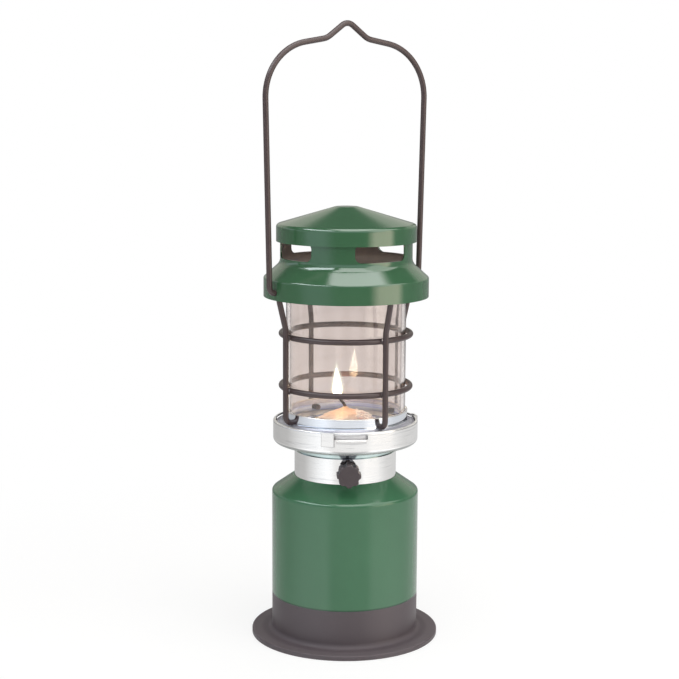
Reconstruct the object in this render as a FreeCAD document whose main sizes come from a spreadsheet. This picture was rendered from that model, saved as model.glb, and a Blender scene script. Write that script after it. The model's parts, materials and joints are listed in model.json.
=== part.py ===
"""Candle lantern with a wire guard, a glass globe and a swinging bail.

Millimetres, +Z up. The origin is on the lantern's axis at the underside of the foot, and the
X axis runs along the bail's pivots. Azimuths are turned about +Z, from -X (the left pivot)
towards the front, unless a note says otherwise.
"""
import FreeCAD, Part
import math
import os

import Sketcher
from FreeCAD import Placement, Rotation, Vector

SIZES = [
    ("sheet", 0.8, "thickness of the pressed sheet metal"),
    ("wire", 3.0, "diameter of the guard and bail wire"),
    ("seat_gap", 0.1, "gap between pieces that sit fast on each other"),
    ("play", 0.3, "gap between pieces that move past each other"),
    ("pin_play", 0.08, "radial play of a pin in its hole"),

    ("foot_radius", 49.8, "flange of the foot"),
    ("foot_rim", 2.5, "thickness of the flange"),
    ("foot_rim_round", 0.8, "rounding of the flange's top edge"),
    ("foot_height", 22.5, "top of the collar, where the shell stands"),
    ("foot_fillet", 2.5, "fillet between flange and collar"),
    ("foot_wall", 2.4, "moulded wall"),
    ("foot_spigot", 6.0, "height of the ring inside the shell"),
    ("foot_hub", 8.0, "radius of the hub under the web"),
    ("rib_depth", 6.0, "depth of hub and ribs under the web"),
    ("rib_thickness", 1.8, "thickness of a rib"),
    ("rib_count", 6, "ribs under the web"),

    ("body_radius", 39.0, "outside of the drum and of the foot's collar"),
    ("shell_height", 56.2, "straight side of the drum"),
    ("shoulder_rise", 8.4, "height of the conical shoulder"),
    ("shell_round", 2.0, "rounding between side and shoulder"),

    ("sleeve_radius", 27.05, "outside of the neck sleeve"),
    ("sleeve_height", 13.2, "sleeve above the shoulder"),
    ("sleeve_flare", 6.0, "width of the flare under the shoulder"),

    ("cup_radius", 38.4, "outside of the burner cup"),
    ("cup_height", 12.0, "wall of the burner cup"),
    ("cup_round", 2.4, "rounding of the cup's lower edge"),
    ("hem", 0.5, "thickening of the cup's wall at the folded rim"),
    ("hem_height", 0.9, "height of the folded rim"),
    ("hem_round", 0.8, "rounding of the folded rim"),
    ("cup_play", 0.4, "gap between the cup's folded rim and the gallery's skirt"),
    ("spigot_show", 4.4, "spigot seen between sleeve and cup"),
    ("spigot_insert", 11.0, "spigot inside the sleeve"),
    ("gate_azimuth", 43.3, "first bayonet gate"),
    ("gate_count", 3, "bayonet gates round the cup"),
    ("gate_width", 6.7, "outside width of a gate"),
    ("gate_depth", 7.3, "depth of a gate below the cup's rim"),
    ("gate_stand", 1.0, "how far a gate stands out of the wall"),
    ("slot_turn", 31.0, "end of the slot, turned from the gate's middle"),
    ("slot_drop", 1.2, "slot's top edge below the cup's rim"),
    ("slot_height", 2.4, "height of the slot"),

    ("pan_sheet", 0.6, "thickness of the candle pan"),
    ("pan_radius", 35.5, "rim of the pan on the cup's floor"),
    ("pan_step_radius", 30.6, "first step of the pan"),
    ("pan_top_radius", 26.6, "second step of the pan"),
    ("pan_height", 8.9, "top of the pan above the cup's floor"),
    ("pan_step", 2.2, "height of the second step"),

    ("tin_radius", 19.5, "candle tin"),
    ("tin_height", 15.1, "candle tin"),
    ("tin_wall", 0.3, "candle tin"),
    ("tin_fill", 0.4, "wax edge below the tin's rim"),
    ("wax_gap", 0.05, "gap round the cast wax"),
    ("wax_rise", 7.9, "mound of wax above its edge"),
    ("wax_peak", 2.4, "radius of the blunt top of the mound"),
    ("wick_radius", 0.8, "wick"),
    ("wick_show", 6.9, "wick above the wax, measured upwards"),
    ("wick_lean", 36.0, "lean of the burning wick"),
    ("wick_bend", 4.0, "bend radius of the wick"),
    ("wick_azimuth", 146.7, "direction of the lean, turned from +X"),
    ("tab_radius", 8.0, "steel tab under the wick"),
    ("tab_sheet", 0.3, "steel tab under the wick"),
    ("tab_collar", 2.5, "height of the tab's collar"),

    ("gallery_drop", 1.3, "gallery floor below the cup's rim"),
    ("collar_radius", 32.8, "collar round the globe"),
    ("collar_height", 6.7, "collar above the gallery floor"),
    ("cove_share", 0.85, "share of the gallery floor taken by the cove at the collar"),

    ("globe_radius", 31.6, "glass globe"),
    ("globe_wall", 2.0, "glass globe"),
    ("globe_height", 70.8, "glass globe"),
    ("globe_round", 0.6, "fire-polished edges of the globe"),

    ("ring_radius", 34.0, "centre line of the guard rings"),
    ("ring_low", 19.5, "lower ring above the gallery floor"),
    ("ring_spacing", 27.7, "upper ring above the lower one"),
    ("stub_rise", 2.6, "upright's inward stub above the gallery floor"),
    ("stub_reach", 27.5, "radius of the stub's inner end"),
    ("upright_bend", 3.5, "bend between stub and upright"),
    ("upright_curve", 8.0, "easy bends where the upright leans out"),
    ("lean_height", 15.0, "height of the leaning stretch under the hood"),
    ("weld_gap", 0.02, "gap at a welded crossing of wires"),

    ("hood_lift", 67.1, "hood's lower edge above the gallery floor"),
    ("hood_radius", 43.4, "outside of the hood's skirt"),
    ("hood_skirt", 10.0, "height of the skirt"),
    ("hood_rise", 7.8, "height of the hood's shoulder"),
    ("hood_round", 1.2, "rounding between skirt and shoulder"),
    ("neck_round", 5.0, "hollow curve between shoulder and neck"),
    ("neck_radius", 34.7, "hood's neck with the windows"),
    ("neck_height", 19.2, "hood's neck with the windows"),
    ("neck_flange", 1.0, "outward flange at the neck's top"),
    ("window_width", 30.4, "chord of a window"),
    ("window_height", 9.6, "height of a window"),
    ("window_sill", 2.6, "sill above the shoulder"),
    ("window_round", 3.2, "corner of a window"),

    ("cap_radius", 36.8, "outside of the cap's skirt"),
    ("cap_skirt", 8.8, "height of the cap's skirt"),
    ("cap_rise", 9.2, "height of the cap's cone"),
    ("cap_flat", 6.0, "radius of the flat top"),
    ("cap_round", 2.0, "rounding between skirt and cone"),

    ("pivot_rise", 4.0, "bail's pivot above the hood's lower edge"),
    ("pivot_half", 46.6, "bail's leg at the pivot, from the axis"),
    ("pivot_bend", 3.0, "bend between pin and leg"),
    ("head_radius", 2.2, "upset head on the pin's end"),
    ("head_length", 0.8, "upset head on the pin's end"),
    ("crown_half", 49.4, "corner of the bail, from the axis"),
    ("crown_rise", 122.5, "corner of the bail above the pivot"),
    ("crown_bend", 28.0, "corner of the bail"),
    ("notch_half", 12.4, "foot of the hang notch, from the axis"),
    ("notch_foot", 128.8, "foot of the hang notch above the pivot"),
    ("notch_ease", 10.0, "reverse bend at the foot of the notch"),
    ("notch_rise", 137.8, "peak of the notch above the pivot, before its bend"),
    ("notch_bend", 5.5, "bend at the peak of the notch"),

    ("knob_azimuth", 60.0, "knob and its screw"),
    ("knob_radius", 6.25, "lobed knob"),
    ("knob_length", 7.2, "lobed knob"),
    ("knob_round", 1.2, "rounding of the knob's face"),
    ("knob_lobes", 8, "lobes of the knob"),
    ("flute_radius", 1.5, "hollow between two lobes"),
    ("flute_stand", 0.5, "centre of the hollow outside the knob's rim"),
    ("screw_radius", 2.0, "knob's screw"),
    ("screw_grip", 5.2, "screw inside the knob"),
    ("nut_flats", 7.0, "nut on the sleeve, across flats"),
    ("nut_height", 2.7, "nut on the sleeve"),
]

FULL_TURN = 360
HALF_TURN = 180
QUARTER_TURN = 90
SAME_PLACE = 1e-4

doc = FreeCAD.newDocument("lantern")
sheet = doc.addObject("Spreadsheet::Sheet", "Size")
sub_parts = []


class Dim:
    """A size that carries its number and the sheet expression that gives it."""

    def __init__(self, value, text):
        self.value = value
        self.text = text

    def __add__(self, other):
        other = as_dim(other)
        return Dim(self.value + other.value, f"({self.text} + {other.text})")

    def __sub__(self, other):
        other = as_dim(other)
        return Dim(self.value - other.value, f"({self.text} - {other.text})")

    def __mul__(self, other):
        other = as_dim(other)
        return Dim(self.value * other.value, f"({self.text} * {other.text})")

    def __truediv__(self, other):
        other = as_dim(other)
        return Dim(self.value / other.value, f"({self.text} / {other.text})")

    def __neg__(self):
        return Dim(-self.value, f"(0 - {self.text})")


def as_dim(number):
    return number if isinstance(number, Dim) else Dim(number, repr(number))


def root(size):
    return Dim(math.sqrt(size.value), f"sqrt({size.text})")


def sine(angle):
    return Dim(math.sin(math.radians(angle.value)), f"sin({angle.text} * 1 deg)")


def cosine(angle):
    return Dim(math.cos(math.radians(angle.value)), f"cos({angle.text} * 1 deg)")


def fill_sheet():
    """Write the driving sizes to the sheet and return them by name."""
    sizes = {}
    for row, (name, number, note) in enumerate(SIZES, start=1):
        sheet.set(f"A{row}", name)
        sheet.set(f"B{row}", str(number))
        sheet.set(f"C{row}", note)
        sheet.setAlias(f"B{row}", name)
        sizes[name] = Dim(number, f"Size.{name}")
    doc.recompute()
    return sizes


def bind(thing, prop, size):
    """Set a property to a size and keep it tied to the sheet."""
    thing.setExpression(prop, size.text)


def new_body(name, turn=None, lift=None):
    """A named body, turned about the lantern's axis and lifted along it where that is given."""
    body = doc.addObject("PartDesign::Body", name)
    body.Label = name
    if turn is not None:
        body.Placement = Placement(Vector(), Rotation(Vector(0, 0, 1), turn.value))
        bind(body, "Placement.Rotation.Angle", turn)
    if lift is not None:
        bind(body, "Placement.Base.z", lift)
    sub_parts.append(body)
    return body


def origin_feature(body, role):
    return next(f for f in body.Origin.OriginFeatures if f.Role == role)


def new_sketch(body, name, role, lift=None, turn=None):
    """A sketch on one of the body's own planes, lifted along and turned about its normal."""
    sketch = body.newObject("Sketcher::SketchObject", name)
    sketch.AttachmentSupport = [(origin_feature(body, role), "")]
    sketch.MapMode = "FlatFace"
    if turn is not None:
        sketch.AttachmentOffset = Placement(Vector(), Rotation(Vector(0, 0, 1), turn.value))
        bind(sketch, "AttachmentOffset.Rotation.Angle", turn)
    if lift is not None:
        bind(sketch, "AttachmentOffset.Base.z", lift)
    return sketch


def datum(sketch, kind, *where, size):
    """A sketch dimension tied to the sheet."""
    index = sketch.addConstraint(Sketcher.Constraint(kind, *where, size.value))
    bind(sketch, f"Constraints[{index}]", size)


def pin_point(sketch, geometry, end, x, y):
    """Hold one end of a sketch curve at (x, y)."""
    across, up = as_dim(x), as_dim(y)
    if across.value == 0:
        sketch.addConstraint(Sketcher.Constraint("PointOnObject", geometry, end, -2))
    else:
        datum(sketch, "DistanceX", -1, 1, geometry, end, size=across)
    if up.value == 0:
        sketch.addConstraint(Sketcher.Constraint("PointOnObject", geometry, end, -1))
    else:
        datum(sketch, "DistanceY", -1, 1, geometry, end, size=up)


def spot(corner):
    return Vector(as_dim(corner[0]).value, as_dim(corner[1]).value, 0)


def draw_polygon(sketch, corners):
    """A closed outline of straight lines through the corners."""
    count = len(corners)
    for i, corner in enumerate(corners):
        sketch.addGeometry(Part.LineSegment(spot(corner), spot(corners[(i + 1) % count])), False)
    for i in range(count):
        sketch.addConstraint(Sketcher.Constraint("Coincident", i, 2, (i + 1) % count, 1))
    for i, corner in enumerate(corners):
        pin_point(sketch, i, 1, *corner)


def draw_circle(sketch, x, y, radius):
    centre = spot((x, y))
    circle = sketch.addGeometry(Part.Circle(centre, Vector(0, 0, 1), radius.value), False)
    pin_point(sketch, circle, 3, x, y)
    datum(sketch, "Radius", circle, size=radius)


def bend_arc(before, corner, after, radius):
    """The arc that rounds a corner, its first and last point, and which of its ends is first."""
    way_in = (before - corner).normalize()
    way_out = (after - corner).normalize()
    half = way_in.getAngle(way_out) / 2
    start = corner + way_in * (radius / math.tan(half))
    stop = corner + way_out * (radius / math.tan(half))
    centre = corner + (way_in + way_out).normalize() * (radius / math.sin(half))
    turns_left = way_out.cross(way_in).z > 0
    first, last = (start, stop) if turns_left else (stop, start)
    angles = [math.atan2(point.y - centre.y, point.x - centre.x) for point in (first, last)]
    circle = Part.Circle(centre, Vector(0, 0, 1), radius)
    return Part.ArcOfCircle(circle, *angles), start, stop, 1 if turns_left else 2


def draw_path(sketch, corners, radii, closed=False):
    """Straight runs joined by tangent arcs: each corner stays where it is and gets a bend."""
    spots = [spot(corner) for corner in corners]
    count = len(corners)
    run_count = count if closed else count - 1
    guides = []
    for i in range(run_count):
        guide = Part.LineSegment(spots[i], spots[(i + 1) % count])
        guides.append(sketch.addGeometry(guide, True))
    for i in range(run_count if closed else run_count - 1):
        sketch.addConstraint(
            Sketcher.Constraint("Coincident", guides[i], 2, guides[(i + 1) % run_count], 1))
    for i, guide in enumerate(guides):
        pin_point(sketch, guide, 1, *corners[i])
    if not closed:
        pin_point(sketch, guides[-1], 2, *corners[-1])

    bends = {}
    bent = range(count) if closed else range(1, count - 1)
    for i in bent:
        radius = radii[i] if closed else radii[i - 1]
        before, after = spots[i - 1], spots[(i + 1) % count]
        bends[i] = (radius,) + bend_arc(before, spots[i], after, radius.value)
    runs = []
    for i in range(run_count):
        start = bends[i][3] if i in bends else spots[i]
        following = (i + 1) % count
        stop = bends[following][2] if following in bends else spots[following]
        runs.append(sketch.addGeometry(Part.LineSegment(start, stop), False))
    for i in range(run_count):
        ends = {1: i in bends, 2: (i + 1) % count in bends}
        for end, is_bent in ends.items():
            if is_bent:
                sketch.addConstraint(
                    Sketcher.Constraint("PointOnObject", runs[i], end, guides[i]))
            else:
                sketch.addConstraint(Sketcher.Constraint("Coincident", runs[i], end, guides[i], end))
    for i, (radius, arc, start, stop, first) in bends.items():
        curve = sketch.addGeometry(arc, False)
        last = 3 - first
        sketch.addConstraint(Sketcher.Constraint("Tangent", runs[i - 1], 2, curve, first))
        sketch.addConstraint(Sketcher.Constraint("Tangent", curve, last, runs[i], 1))
        datum(sketch, "Radius", curve, size=radius)


def revolve(body, corners):
    """Turn an outline of (radius, height) corners about the lantern's axis."""
    sketch = new_sketch(body, "profile", "XZ_Plane")
    draw_polygon(sketch, corners)
    turned = body.newObject("PartDesign::Revolution", "turned_profile")
    turned.Profile = sketch
    turned.ReferenceAxis = (sketch, ["V_Axis"])
    turned.Angle = FULL_TURN
    doc.recompute()


def extrude(body, kind, sketch, length, reverse=False, symmetric=False):
    """A pad or a pocket of a sketch."""
    feature = body.newObject(f"PartDesign::{kind}", f"{sketch.Name}_{kind.lower()}")
    feature.Profile = sketch
    feature.Reversed = reverse
    if symmetric:
        feature.SideType = "Symmetric"
    bind(feature, "Length", length)
    doc.recompute()
    return feature


def pattern(body, feature, count, angle=FULL_TURN, axis="Z_Axis"):
    """Repeat a feature round one of the body's axes."""
    copies = body.newObject("PartDesign::PolarPattern", feature.Name + "_copies")
    copies.Originals = [feature]
    copies.Axis = (origin_feature(body, axis), [""])
    copies.Angle = angle
    bind(copies, "Occurrences", as_dim(count))
    body.Tip = copies
    doc.recompute()


def round_rings(body, radius, rings, along="z"):
    """Fillet the circular edges that lie at the given (radius, height) places."""
    base = body.Tip
    names = []
    for i, edge in enumerate(base.Shape.Edges, start=1):
        if not isinstance(edge.Curve, Part.Circle):
            continue
        for ring_radius, height in rings:
            off_radius = edge.Curve.Radius - as_dim(ring_radius).value
            off_height = getattr(edge.Curve.Center, along) - as_dim(height).value
            if abs(off_radius) + abs(off_height) < SAME_PLACE:
                names.append(f"Edge{i}")
    if not names:
        raise RuntimeError(f"{body.Label}: no edge to round")
    fillet = body.newObject("PartDesign::Fillet", f"{body.Name}_round_{len(body.Group)}")
    fillet.Base = (base, names)
    bind(fillet, "Radius", radius)
    doc.recompute()


def sweep_along(body, section, spine):
    """Sweep a section along a whole path."""
    doc.recompute()
    sweep = body.newObject("PartDesign::AdditivePipe", "swept_wire")
    sweep.Profile = section
    sweep.Spine = (spine, [])
    doc.recompute()


def bent_wire(body, corners, radii, radius):
    """Round wire along a path of (x, z) corners whose first run points along X."""
    spine = new_sketch(body, "centre_line", "XZ_Plane")
    draw_path(spine, corners, radii)
    section = new_sketch(body, "section", "YZ_Plane", lift=corners[0][0])
    draw_circle(section, 0, corners[0][1], radius)
    sweep_along(body, section, spine)


class Sizes:
    """The sizes as attributes, so that an outline reads like a drawing."""

    def __init__(self, sizes):
        self.__dict__.update(sizes)


s = Sizes(fill_sheet())
half_wire = s.wire / 2

# Heights of the stack, from the foot upwards
shoulder_z = s.foot_height + s.shell_height
neck_z = shoulder_z + s.shoulder_rise
knob_z = neck_z + s.sleeve_height / 2
sleeve_top = neck_z + s.sleeve_height
cup_z = sleeve_top + s.spigot_show
cup_floor = cup_z + s.sheet
cup_top = cup_z + s.cup_height
slot_z = cup_top - s.slot_drop - s.slot_height
gallery_floor = cup_top - s.gallery_drop
stub_z = gallery_floor + s.stub_rise
globe_z = stub_z + half_wire + s.seat_gap
hood_z = gallery_floor + s.hood_lift
hood_shoulder_z = hood_z + s.hood_skirt
hood_neck_z = hood_shoulder_z + s.hood_rise
neck_top = hood_neck_z + s.neck_height
pivot_z = hood_z + s.pivot_rise

# Radii that two pieces share
shell_bore = s.body_radius - s.sheet
spigot_radius = s.sleeve_radius - s.sheet - s.seat_gap
cup_bore = s.cup_radius - s.sheet
hem_bore = cup_bore - s.hem
gate_front = s.cup_radius + s.gate_stand
channel_front = gate_front - s.sheet
channel_half = s.gate_width / 2 - s.sheet
skirt_bore = s.hood_radius - s.sheet
upright_radius = s.ring_radius + s.wire + s.weld_gap
upright_top = skirt_bore - half_wire - s.seat_gap * 2
pin_bore = half_wire + s.pin_play
nut_face = s.sleeve_radius + s.seat_gap + s.nut_height
knob_back = nut_face + s.play


class Cone:
    """A conical wall of the sheet's thickness that rises inwards from its outer corner."""

    def __init__(self, radius, height, top_radius, rise):
        self.radius = radius
        self.height = height
        self.slope = rise / (radius - top_radius)
        self.drop = s.sheet * root(self.slope * self.slope + 1)

    def over(self, radius):
        return self.height + (self.radius - radius) * self.slope

    def under(self, radius):
        return self.over(radius) - self.drop


shoulder = Cone(s.body_radius, shoulder_z, s.sleeve_radius, s.shoulder_rise)
hood_cone = Cone(s.hood_radius, hood_shoulder_z, s.neck_radius, s.hood_rise)


def radial_hole(body, name, height, radius, depth):
    """Drill from the axis outwards along -X, through the wall on that side only."""
    hole = new_sketch(body, name, "YZ_Plane")
    draw_circle(hole, 0, height, radius)
    extrude(body, "Pocket", hole, depth)


def cross_hole(body, name, height, radius, span):
    """Drill through both walls along X."""
    hole = new_sketch(body, name, "YZ_Plane")
    draw_circle(hole, 0, height, radius)
    return extrude(body, "Pocket", hole, span, symmetric=True)


def make_foot():
    foot = new_body("foot")
    cavity = s.body_radius - s.foot_wall
    web = s.foot_height - s.foot_wall
    spigot = shell_bore - s.seat_gap
    spigot_top = s.foot_height + s.foot_spigot
    hub_z = web - s.rib_depth
    revolve(foot, [
        (s.foot_radius, 0), (s.foot_radius, s.foot_rim), (s.body_radius, s.foot_rim),
        (s.body_radius, s.foot_height), (spigot, s.foot_height), (spigot, spigot_top),
        (spigot - s.foot_wall, spigot_top), (spigot - s.foot_wall, s.foot_height),
        (0, s.foot_height), (0, hub_z), (s.foot_hub, hub_z), (s.foot_hub, web),
        (cavity, web), (cavity, 0)])
    round_rings(foot, s.foot_fillet, [(s.body_radius, s.foot_rim)])
    round_rings(foot, s.foot_rim_round, [(s.foot_radius, s.foot_rim)])
    rib = new_sketch(foot, "rib", "XY_Plane", lift=hub_z)
    inner = s.foot_hub / 2
    outer = cavity + s.foot_wall / 2
    side = s.rib_thickness / 2
    draw_polygon(rib, [(inner, -side), (outer, -side), (outer, side), (inner, side)])
    pattern(foot, extrude(foot, "Pad", rib, s.rib_depth + s.foot_wall / 2), s.rib_count)


def make_body_shell():
    shell = new_body("body_shell")
    hole = s.sleeve_radius + s.seat_gap
    revolve(shell, [
        (s.body_radius, s.foot_height), (s.body_radius, shoulder_z), (hole, shoulder.over(hole)),
        (hole, shoulder.under(hole)), (shell_bore, shoulder.under(shell_bore)),
        (shell_bore, s.foot_height)])
    round_rings(shell, s.shell_round, [(s.body_radius, shoulder_z)])


def make_neck_sleeve():
    sleeve = new_body("neck_sleeve", turn=s.knob_azimuth)
    bore = s.sleeve_radius - s.sheet
    flare = s.sleeve_radius + s.sleeve_flare

    def seat(radius):
        return shoulder.under(radius) - s.seat_gap

    revolve(sleeve, [
        (s.sleeve_radius, sleeve_top), (bore, sleeve_top), (bore, seat(bore) - shoulder.drop),
        (flare, seat(flare) - shoulder.drop), (flare, seat(flare)),
        (s.sleeve_radius, seat(s.sleeve_radius))])
    radial_hole(sleeve, "screw_hole", knob_z, s.screw_radius + s.play, s.sleeve_radius + s.sheet)


def make_clamp_nut():
    nut = new_body("clamp_nut", turn=s.knob_azimuth, lift=knob_z)
    flat = s.nut_flats / 2
    corner = s.nut_flats / math.sqrt(3)
    hexagon = new_sketch(nut, "hexagon", "YZ_Plane")
    draw_polygon(hexagon, [
        (flat, -corner / 2), (flat, corner / 2), (0, corner),
        (-flat, corner / 2), (-flat, -corner / 2), (0, -corner)])
    extrude(nut, "Pad", hexagon, nut_face, reverse=True)
    seat = new_sketch(nut, "sleeve_seat", "XY_Plane")
    draw_circle(seat, 0, 0, s.sleeve_radius + s.seat_gap)
    extrude(nut, "Pocket", seat, s.nut_flats * 2, symmetric=True)
    radial_hole(nut, "thread", 0, s.screw_radius + s.pin_play, nut_face + s.play)


def make_knob():
    knob = new_body("knob", turn=s.knob_azimuth, lift=knob_z)
    disc = new_sketch(knob, "disc", "YZ_Plane", lift=-knob_back)
    draw_circle(disc, 0, 0, s.knob_radius)
    extrude(knob, "Pad", disc, s.knob_length, reverse=True)
    round_rings(knob, s.knob_round, [(s.knob_radius, -knob_back - s.knob_length)], along="x")
    socket = new_sketch(knob, "socket", "YZ_Plane", lift=-knob_back)
    draw_circle(socket, 0, 0, s.screw_radius + s.seat_gap)
    extrude(knob, "Pocket", socket, s.screw_grip + s.seat_gap)
    flute = new_sketch(knob, "flute", "YZ_Plane", lift=-knob_back)
    reach = s.knob_radius + s.flute_stand
    half_pitch = as_dim(HALF_TURN) / s.knob_lobes
    draw_circle(flute, reach * sine(half_pitch), reach * cosine(half_pitch), s.flute_radius)
    pattern(knob, extrude(knob, "Pocket", flute, s.knob_length), s.knob_lobes, axis="X_Axis")


def make_knob_screw():
    screw = new_body("knob_screw", turn=s.knob_azimuth, lift=knob_z)
    tip = spigot_radius + s.play
    stem = new_sketch(screw, "stem", "YZ_Plane", lift=-tip)
    draw_circle(stem, 0, 0, s.screw_radius)
    extrude(screw, "Pad", stem, knob_back + s.screw_grip - tip, reverse=True)
    round_rings(screw, s.screw_radius / 4, [(s.screw_radius, -tip)], along="x")


def make_burner_cup():
    cup = new_body("burner_cup")
    bore = spigot_radius - s.sheet
    spigot_z = sleeve_top - s.spigot_insert
    revolve(cup, [
        (s.cup_radius, cup_z), (s.cup_radius, cup_top), (hem_bore, cup_top),
        (hem_bore, cup_top - s.hem_height), (cup_bore, cup_top - s.hem_height), (cup_bore, cup_floor),
        (bore, cup_floor), (bore, spigot_z), (spigot_radius, spigot_z), (spigot_radius, cup_z)])
    round_rings(cup, s.cup_round - s.sheet, [(cup_bore, cup_floor)])
    round_rings(cup, s.cup_round, [(s.cup_radius, cup_z)])
    round_rings(cup, s.hem_round, [(s.cup_radius, cup_top)])
    gate_half = s.gate_width / 2
    gate_z = cup_top - s.gate_depth
    gate_back = root(cup_bore * cup_bore - gate_half * gate_half)
    gate = new_sketch(cup, "gate", "XY_Plane", lift=gate_z, turn=s.gate_azimuth)
    draw_polygon(gate, [(-gate_front, -gate_half), (-gate_back, -gate_half),
                        (-gate_back, gate_half), (-gate_front, gate_half)])
    pattern(cup, extrude(cup, "Pad", gate, s.gate_depth), s.gate_count)
    channel = new_sketch(cup, "channel", "XY_Plane", lift=gate_z + s.sheet, turn=s.gate_azimuth)
    inside = s.gate_width - channel_front
    draw_polygon(channel, [(-channel_front, -channel_half), (inside, -channel_half),
                           (inside, channel_half), (-channel_front, channel_half)])
    pattern(cup, extrude(cup, "Pocket", channel, s.gate_depth, reverse=True), s.gate_count)
    slot = new_sketch(cup, "slot", "XY_Plane", lift=slot_z, turn=s.gate_azimuth)
    near = cup_bore - s.gate_stand
    far = s.cup_radius + s.gate_width
    draw_polygon(slot, [
        (-near, -channel_half), (-channel_front, -channel_half), (-channel_front, -gate_half),
        (-far, -gate_half), (-far * cosine(s.slot_turn), -far * sine(s.slot_turn)),
        (-near * cosine(s.slot_turn), -near * sine(s.slot_turn))])
    pattern(cup, extrude(cup, "Pocket", slot, s.slot_height, reverse=True), s.gate_count)


well_radius = s.tin_radius + s.cup_play
pan_top = cup_floor + s.pan_height
tin_top = pan_top + s.pan_sheet
tin_z = tin_top - s.tin_height
well_floor = tin_z - s.play


def make_candle_pan():
    pan = new_body("candle_pan")
    step_z = pan_top - s.pan_step
    revolve(pan, [
        (s.pan_radius, cup_floor), (s.pan_radius, cup_floor + s.pan_sheet),
        (s.pan_step_radius, cup_floor + s.pan_sheet), (s.pan_step_radius, step_z),
        (s.pan_top_radius, step_z), (s.pan_top_radius, pan_top), (well_radius, pan_top),
        (well_radius, well_floor), (0, well_floor), (0, well_floor - s.pan_sheet),
        (well_radius + s.pan_sheet, well_floor - s.pan_sheet),
        (well_radius + s.pan_sheet, pan_top - s.pan_sheet),
        (s.pan_top_radius - s.pan_sheet, pan_top - s.pan_sheet),
        (s.pan_top_radius - s.pan_sheet, step_z - s.pan_sheet),
        (s.pan_step_radius - s.pan_sheet, step_z - s.pan_sheet),
        (s.pan_step_radius - s.pan_sheet, cup_floor)])
    round_rings(pan, s.pan_sheet, [(s.pan_step_radius, step_z), (s.pan_top_radius, pan_top),
                                   (well_radius, pan_top)])


wax_radius = s.tin_radius - s.tin_wall - s.wax_gap
wax_z = tin_z + s.tin_wall + s.wax_gap
wax_edge = tin_top - s.tin_fill
wax_top = wax_edge + s.wax_rise
tab_top = wax_z + s.tab_sheet
collar_top = tab_top + s.tab_collar
wick_bore = s.wick_radius + s.wax_gap


def make_candle_tin():
    tin = new_body("candle_tin")
    bore = s.tin_radius - s.tin_wall
    revolve(tin, [
        (s.tin_radius, tin_z), (s.tin_radius, tin_top), (bore, tin_top),
        (bore, tin_z + s.tin_wall), (0, tin_z + s.tin_wall), (0, tin_z)])


def make_candle_wax():
    wax = new_body("candle_wax")
    tab_bore = s.tab_radius + s.wax_gap
    collar_bore = s.wick_radius * 2 + s.wax_gap
    revolve(wax, [
        (wax_radius, wax_z), (wax_radius, wax_edge), (s.wax_peak, wax_top), (wick_bore, wax_top),
        (wick_bore, collar_top + s.wax_gap), (collar_bore, collar_top + s.wax_gap),
        (collar_bore, tab_top + s.wax_gap), (tab_bore, tab_top + s.wax_gap), (tab_bore, wax_z)])
    round_rings(wax, s.wax_peak / 3, [(wax_radius, wax_edge), (s.wax_peak, wax_top)])


def make_wick_tab():
    tab = new_body("wick_tab")
    collar = s.wick_radius * 2
    revolve(tab, [
        (s.tab_radius, wax_z), (s.tab_radius, tab_top), (collar, tab_top), (collar, collar_top),
        (wick_bore, collar_top), (wick_bore, tab_top), (0, tab_top), (0, wax_z)])


def make_wick():
    wick = new_body("wick", turn=s.wick_azimuth)
    foot = tab_top + s.wax_gap
    bend = wax_top + s.wick_bend / 4
    tip = wax_top + s.wick_show
    reach = (tip - bend) * sine(s.wick_lean) / cosine(s.wick_lean)
    line = new_sketch(wick, "centre_line", "XZ_Plane")
    draw_path(line, [(0, foot), (0, bend), (reach, tip)], [s.wick_bend])
    section = new_sketch(wick, "section", "XY_Plane", lift=foot)
    draw_circle(section, 0, 0, s.wick_radius)
    sweep_along(wick, section, line)


skirt_radius = hem_bore - s.cup_play


def make_gallery():
    gallery = new_body("gallery")
    collar_bore = s.collar_radius - s.sheet
    ledge = gallery_floor - s.sheet
    skirt_z = cup_floor + s.cup_round
    revolve(gallery, [
        (collar_bore, ledge), (collar_bore, gallery_floor + s.collar_height),
        (s.collar_radius, gallery_floor + s.collar_height), (s.collar_radius, gallery_floor),
        (skirt_radius, gallery_floor), (skirt_radius, skirt_z), (skirt_radius - s.sheet, skirt_z),
        (skirt_radius - s.sheet, ledge)])
    cove = (skirt_radius - s.collar_radius - s.sheet) * s.cove_share
    round_rings(gallery, cove, [(s.collar_radius, gallery_floor)])
    round_rings(gallery, cove + s.sheet, [(collar_bore, ledge)])
    lug = new_sketch(gallery, "lug", "XY_Plane", lift=slot_z + s.play, turn=s.gate_azimuth)
    tip = channel_front - s.play
    root_x = skirt_radius - s.sheet
    half = channel_half - s.play
    draw_polygon(lug, [(-tip, -half), (-root_x, -half), (-root_x, half), (-tip, half)])
    pattern(gallery, extrude(gallery, "Pad", lug, s.slot_height - s.play * 2), s.gate_count)
    stub = cross_hole(gallery, "stub_hole", stub_z, half_wire + s.seat_gap, s.collar_radius * 3)
    pattern(gallery, stub, 2, angle=QUARTER_TURN)


def make_globe():
    globe = new_body("globe")
    bore = s.globe_radius - s.globe_wall
    top = globe_z + s.globe_height
    revolve(globe, [(s.globe_radius, globe_z), (s.globe_radius, top), (bore, top), (bore, globe_z)])
    round_rings(globe, s.globe_round, [(radius, height) for radius in (s.globe_radius, bore)
                                       for height in (globe_z, top)])


def make_guard_ring(name, height):
    ring = doc.addObject("Part::Torus", name)
    ring.Label = name
    bind(ring, "Radius1", s.ring_radius)
    bind(ring, "Radius2", half_wire)
    bind(ring, "Placement.Base.z", height)
    sub_parts.append(ring)


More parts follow.
